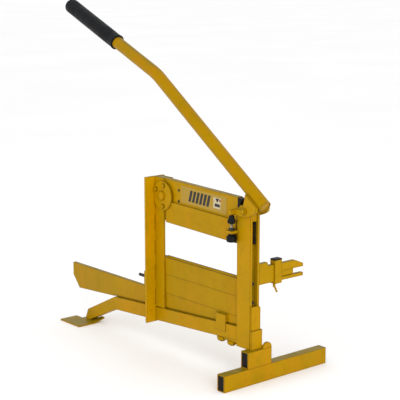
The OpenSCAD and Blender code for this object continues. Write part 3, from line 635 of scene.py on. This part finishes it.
def build_disc_screws():
    parts = []
    for low, high in solids_of("disc_screws"):
        seat = Vector((middle(low, high).x, low.y + BOLT_HEAD, middle(low, high).z))
        parts += bolt(seat, -Y, (8.2, 1.1), (13, 4), ((4, 0), (4, 6), (3.6, 7)))
    piece("disc_hex_screws", *merged(parts), PAINT, "disc_screws", replaces=["disc_screws"])


def build_clamp_bolts():
    parts = []
    for low, high in solids_of("clamp_bar_bolts"):
        seat = Vector((middle(low, high).x, high.y - BOLT_HEAD, middle(low, high).z))
        parts += bolt(seat, Y, (9.5, 1.2), (15, 3.9), ((4, 0), (4, 20), (3.5, 21)))
    piece("clamp_bar_hex_bolts", *merged(parts), OXIDE, "clamp_bar_bolts", replaces=["clamp_bar_bolts"])


HINGE_PIN_DOME = (14.2, 0), (14, 0.8), (12, 1.7), (5, 2.3), (0.8, 2.4)
HINGE_DOME_SINK = 0.6 * MM


def build_hinge_pin():
    """The nut at the rear of the beam's hinge pin, and the dome of the pin's head."""
    low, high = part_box("beam_pin_nut")
    seat = Vector((middle(low, high).x, low.y, middle(low, high).z))
    parts = [washer(seat, Y, 18.5 * MM, 1.5 * MM),
             hex_head(seat + Y * (1.5 * MM - HEAD_SINK), Y, 34 * MM, 10.4 * MM, 0.2)]
    piece("hinge_nut", *merged(parts), OXIDE, "beam_pin_nut", replaces=["beam_pin_nut"])

    low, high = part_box("beam_pin")
    base = Vector((middle(low, high).x, low.y + HINGE_DOME_SINK, middle(low, high).z))
    piece("hinge_pin_dome", *lathe(base, -Y, mm(*HINGE_PIN_DOME), sides=48), PAINT, "beam_pin")


RAIL_NUT = 13 * MM
RAIL_BOLT_R = 9 * MM
RAIL_BOLT_END = 4 * MM
RAIL_PITCH = 2.5 * MM


def build_rail_nuts():
    """Nuts under the rail, with the threaded ends of their bolts."""
    parts = []
    for low, high in solids_of("rail_nuts"):
        centre = middle(low, high)
        bottom = Vector((centre.x, centre.y, low.z))
        nut = bottom + Z * RAIL_BOLT_END
        shank = nut + Z * (RAIL_NUT - 0.5 * MM)
        parts.append(hex_head(nut, Z, high.x - low.x, RAIL_NUT))
        parts.append(thread(bottom, Z, RAIL_BOLT_R, RAIL_BOLT_END + OVERLAP, RAIL_PITCH))
        parts.append(lathe(shank, Z, [(RAIL_BOLT_R, 0), (RAIL_BOLT_R, high.z - shank.z)], sides=32))
    piece("rail_hex_nuts", *merged(parts), PAINT, "rail_nuts", replaces=["rail_nuts"])


LABEL_SCREW = (4, 0), (4, 1.4), (3.2, 2.5), (1.6, 3), (1.5, 2)


def build_label_screws():
    """Domed heads with a socket at the label's left edge."""
    parts = []
    for low, high in solids_of("label_screws"):
        seat = Vector((middle(low, high).x, high.y, middle(low, high).z))
        parts.append(lathe(seat, -Y, mm(*LABEL_SCREW), sides=28))
    piece("label_dome_screws", *merged(parts), OXIDE, "label_screws", replaces=["label_screws"])


STUD_R = 4.9 * MM
STUD_TIP = 6 * MM           # plain length at the web
FINE_PITCH = 1.5 * MM


def build_side_stud():
    """The thread on the stud that stands out of the left web."""
    low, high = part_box("side_stud")
    base = Vector((low.x, middle(low, high).y, middle(low, high).z))
    piece("side_stud_thread", *thread(base, X, STUD_R, high.x - low.x - STUD_TIP, FINE_PITCH), OXIDE,
          "side_stud")


# Thickness spindle ---------------------------------------------------------------------------

SCALLOPS = 12
SCALLOP_DEPTH = 0.5 * MM
LOBES = 5
LOBE_DEPTH = 1.1 * MM
LOBE_TOP = 12 * MM


def build_spindle():
    low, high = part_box("spindle_rod")
    centre = middle(low, high)

    def foot_of(node):
        """The place on the spindle's axis where a node starts, and the node's height."""
        low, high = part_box(node)
        return Vector((centre.x, centre.y, low.z)), high.z - low.z

    base, height = foot_of("spindle_rod")
    piece("spindle_thread", *thread(base, Z, (high.x - low.x) / 2, height, FINE_PITCH),
          BRIGHT, "spindle_rod", replaces=["spindle_rod"])

    # Handwheel: crowned rim with scallops, a hub above it and a recess below
    base, height = foot_of("handwheel")
    h = height / MM
    rim_top = h - 5
    profile = mm((5, 2), (10, 1.6), (12.5, 0), (14.4, 1), (15, 3), (15, h - 8), (13.8, rim_top),
                 (11.6, h - 4), (10.6, h - 3), (10.2, h - 1), (9, h))
    piece("handwheel_scalloped", *lathe(
        base, Z, profile, sides=96,
        press=lambda a, at: SCALLOP_DEPTH * (1 + math.cos(SCALLOPS * a)) * (0 < at <= rim_top * MM)),
        KNOB, "handwheel", replaces=["handwheel"])

    # Star nut: rounded lobes under a smooth hub
    base, height = foot_of("star_nut")
    h = height / MM
    profile = mm((9.4, 0), (11.5, 1.2), (11.9, 3), (11.9, 9), (11.3, 11), (9.5, 12.6), (8.6, 15),
                 (7.8, 20), (7.1, h - 1), (6.2, h))
    piece("star_nut_lobed", *lathe(
        base, Z, profile, sides=80,
        press=lambda a, at: LOBE_DEPTH * (1 - math.cos(LOBES * a)) * (at < LOBE_TOP)),
        KNOB, "star_nut", replaces=["star_nut"])

    base, height = foot_of("lug_nut")
    piece("lug_hex_nut", *hex_head(base, Z, 18 * MM, height, 0.35), OXIDE, "lug_nut",
          replaces=["lug_nut"])


# Return spring -------------------------------------------------------------------------------

SPRING_TURNS = 13
SPRING_R = 7.6 * MM
SPRING_WIRE = 1.25 * MM
SPRING_STEPS = 28           # points in one turn


def build_spring():
    low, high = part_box("return_spring")
    centre = middle(low, high)
    bottom, top = low.z + SPRING_WIRE, high.z - SPRING_WIRE
    path = []
    steps = SPRING_TURNS * SPRING_STEPS
    for i in range(steps + 1):
        share = i / steps
        # The end coils lie closer together, as on a ground spring
        rise = share - 0.035 * math.sin(2 * math.pi * share)
        a = 2 * math.pi * SPRING_TURNS * share
        path.append(Vector((centre.x + SPRING_R * math.cos(a), centre.y + SPRING_R * math.sin(a),
                            bottom + (top - bottom) * rise)))
    coil = piece("return_coil", *sweep(path, SPRING_WIRE, sides=10), SPRING, "return_spring",
                 replaces=["return_spring"])
    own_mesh(coil)


# Label ---------------------------------------------------------------------------------------

BEAM_TILT = math.radians(1.6)
FILM = 0.15 * MM
# On the label, in millimetres along the beam and up from its hinge
BAR_COUNT = 6
BAR_START, BAR_PITCH, BAR_WIDTH, BAR_LEAN = 118, 16.5, 11, 9
BAR_LOW, BAR_TOP = 2, 37
SIGN_PLACE, SIGN_SIZE = (233, 4), 32
SIGN_WEDGE = (8, 30), (26, 30), (17, 17)
SIGN_BLOCK = (6, 5), (29, 5), (29, 14), (6, 14)
SIGN_DOT, SIGN_DOT_R, SIGN_DOT_SIDES = (29, 25), 3.6, 20


def on_beam(u, w, y):
    """A place on the tilted beam, u along it and w up from its hinge."""
    hinge = Vector(JOINT["beam_pivot"]["pos_m"])
    return Vector((hinge.x + u * math.cos(BEAM_TILT) + w * math.sin(BEAM_TILT), y,
                   hinge.z + w * math.cos(BEAM_TILT) - u * math.sin(BEAM_TILT)))


def film(points, y):
    """An outline of (u, w) in millimetres on the beam's face, as a thin raised film."""
    back = [on_beam(u * MM, w * MM, y) for u, w in points]
    front = [on_beam(u * MM, w * MM, y - FILM) for u, w in points]
    n = len(points)
    faces = [list(range(n))[::-1], [n + k for k in range(n)]]
    faces += [[k, (k + 1) % n, n + (k + 1) % n, n + k] for k in range(n)]
    return back + front, faces


def on_sign(points):
    return [(SIGN_PLACE[0] + u, SIGN_PLACE[1] + w) for u, w in points]


def build_label():
    """A plain band of slanted bars and a small sign of a block under a wedge."""
    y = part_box("label_plate")[0].y
    bars = []
    for i in range(BAR_COUNT):
        u = BAR_START + BAR_PITCH * i
        bars.append(film([(u, BAR_LOW), (u + BAR_WIDTH, BAR_LOW), (u + BAR_WIDTH + BAR_LEAN, BAR_TOP),
                          (u + BAR_LEAN, BAR_TOP)], y))
    piece("label_bars", *merged(bars), INK, "label_plate", smooth=False)

    ground = film(on_sign([(0, 0), (SIGN_SIZE, 0), (SIGN_SIZE, SIGN_SIZE), (0, SIGN_SIZE)]), y)
    piece("label_sign_ground", *ground, INK_PALE, "label_plate", smooth=False)
    front = y - FILM
    marks = [film(on_sign(outline), front) for outline in (SIGN_WEDGE, SIGN_BLOCK)]
    piece("label_sign_marks", *merged(marks), INK, "label_plate", smooth=False)
    turns = [2 * math.pi * k / SIGN_DOT_SIDES for k in range(SIGN_DOT_SIDES)]
    u, w = SIGN_DOT
    dot = [(u + SIGN_DOT_R * math.cos(a), w + SIGN_DOT_R * math.sin(a)) for a in turns]
    piece("label_sign_dot", *film(on_sign(dot), front), INK_RED, "label_plate", smooth=False)


# Welds ---------------------------------------------------------------------------------------

STITCHES = 5
STITCH_SHARE = 0.62         # welded share of each stitch's pitch
STAND_OFF = 0.4 * MM        # from a corner to the middle of its bead
SKIN = 0.3 * MM


def build_upright_weld():
    """Web to front flange, in stitches."""
    web_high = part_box("upright_web")[1]
    flange_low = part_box("front_flange")[0]
    x = web_high.x + 0.6 * MM
    y = flange_low.y - STAND_OFF
    top, bottom = web_high.z - 12 * MM, flange_low.z + 6 * MM
    pitch = (top - bottom) / STITCHES
    beads = []
    for i in range(STITCHES):
        z = bottom + pitch * i
        beads.append(weld((x, y, z), (x, y, z + pitch * STITCH_SHARE), 2.4 * MM))
    piece("upright_weld", *merged(beads), WELD, "front_flange")


def build_stand_welds():
    """Column and post on the foot block, and the block on the foot bar."""
    block_low, block_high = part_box("foot_block")
    post_low, post_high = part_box("foot_post")
    bar_low, bar_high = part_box("foot_bar")
    column_low, column_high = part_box("column_front")
    front = column_low.y - STAND_OFF
    post_x = post_high.x + SKIN
    post_foot = block_high.z + SKIN
    corner_x, corner_y = column_high.x + 1 * MM, post_low.y - 0.2 * MM
    beads = [
        weld((block_low.x + 1 * MM, front, block_high.z), (column_high.x - 1 * MM, front, block_high.z),
             2.8 * MM),
        weld((post_x, post_low.y + 1 * MM, post_foot), (post_x, post_high.y - 1 * MM, post_foot),
             2.4 * MM),
        weld((corner_x, corner_y, block_high.z + 1 * MM), (corner_x, corner_y, post_high.z - 2 * MM),
             1.8 * MM),
    ]
    piece("column_weld", *merged(beads), WELD, "foot_block")

    z = bar_high.z + SKIN
    beads = [weld((bar_low.x + 2 * MM, y, z), (bar_high.x - 2 * MM, y, z), 2.8 * MM)
             for y in (block_low.y - STAND_OFF, block_high.y + STAND_OFF)]
    piece("foot_weld", *merged(beads), WELD, "foot_bar")


def build_arm_weld():
    """Guide arm to the column's rear bar."""
    low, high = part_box("guide_arm")
    x, y = low.x - STAND_OFF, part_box("column_rear")[1].y + STAND_OFF
    bead = weld((x, y, low.z + 3 * MM), (x, y, high.z - 3 * MM), 2.4 * MM)
    piece("arm_weld", *bead, WELD, "guide_arm")


# Stage, light and camera ---------------------------------------------------------------------

FLOOR_HALF = 30.0
KEY_PLACE, KEY_SIZE, KEY_POWER = (3.6, -1.5, 1.5), 2.2, 60
FILL_PLACE, FILL_SIZE, FILL_POWER = (-0.6, -4.0, 1.2), 2.0, 22
SKY = 1.04


def build_stage():
    mesh = bpy.data.meshes.new("floor")
    h = FLOOR_HALF
    mesh.from_pydata([(-h, -h, 0), (h, -h, 0), (h, h, 0), (-h, h, 0)], [], [[0, 1, 2, 3]])
    floor = bpy.data.objects.new("floor", mesh)
    s = Shader("pale_floor")
    mix = s.mix(s.span(s.noise(0.8), 0.3, 0.7), (0.93, 0.93, 0.93, 1), (0.96, 0.96, 0.96, 1))
    mesh.materials.append(s.set(colour=mix, roughness=0.9))
    bpy.context.scene.collection.objects.link(floor)


def area_light(name, place, size, power):
    data = bpy.data.lights.new(name, "AREA")
    data.shape = "DISK"
    data.size = size
    data.energy = power
    light = bpy.data.objects.new(name, data)
    light.location = place
    light.rotation_mode = "QUATERNION"
    light.rotation_quaternion = (VIEW_TARGET - Vector(place)).to_track_quat("-Z", "Y")
    bpy.context.scene.collection.objects.link(light)


def build_light():
    scene = bpy.context.scene
    world = bpy.data.worlds.new("studio")
    world.use_nodes = True
    background = next(n for n in world.node_tree.nodes if n.type == "BACKGROUND")
    background.inputs["Color"].default_value = (1, 1, 1, 1)
    background.inputs["Strength"].default_value = SKY
    scene.world = world
    scene.view_settings.view_transform = "Standard"
    area_light("key", KEY_PLACE, KEY_SIZE, KEY_POWER)
    area_light("fill", FILL_PLACE, FILL_SIZE, FILL_POWER)


def build_camera():
    scene = bpy.context.scene
    back = Vector((math.sin(VIEW_AZIMUTH) * math.cos(VIEW_ELEVATION),
                   -math.cos(VIEW_AZIMUTH) * math.cos(VIEW_ELEVATION), math.sin(VIEW_ELEVATION)))
    data = bpy.data.cameras.new("camera")
    data.lens = VIEW_LENS
    data.sensor_width = 36
    data.clip_end = 200
    camera = bpy.data.objects.new("camera", data)
    camera.location = VIEW_TARGET + back * VIEW_DISTANCE
    camera.rotation_mode = "QUATERNION"
    camera.rotation_quaternion = (-back).to_track_quat("-Z", "Y")
    scene.collection.objects.link(camera)
    scene.camera = camera


build_light()
build_camera()
build_stage()
dress_cad_nodes()
build_lever_tube()
build_grip()
build_lever_pin()
build_cheek_welds()
build_disc_screws()
build_clamp_bolts()
build_hinge_pin()
build_rail_nuts()
build_label_screws()
build_spindle()
build_spring()
build_label()
build_upright_weld()
build_stand_welds()
build_arm_weld()
build_side_stud()

bpy.context.view_layer.update()
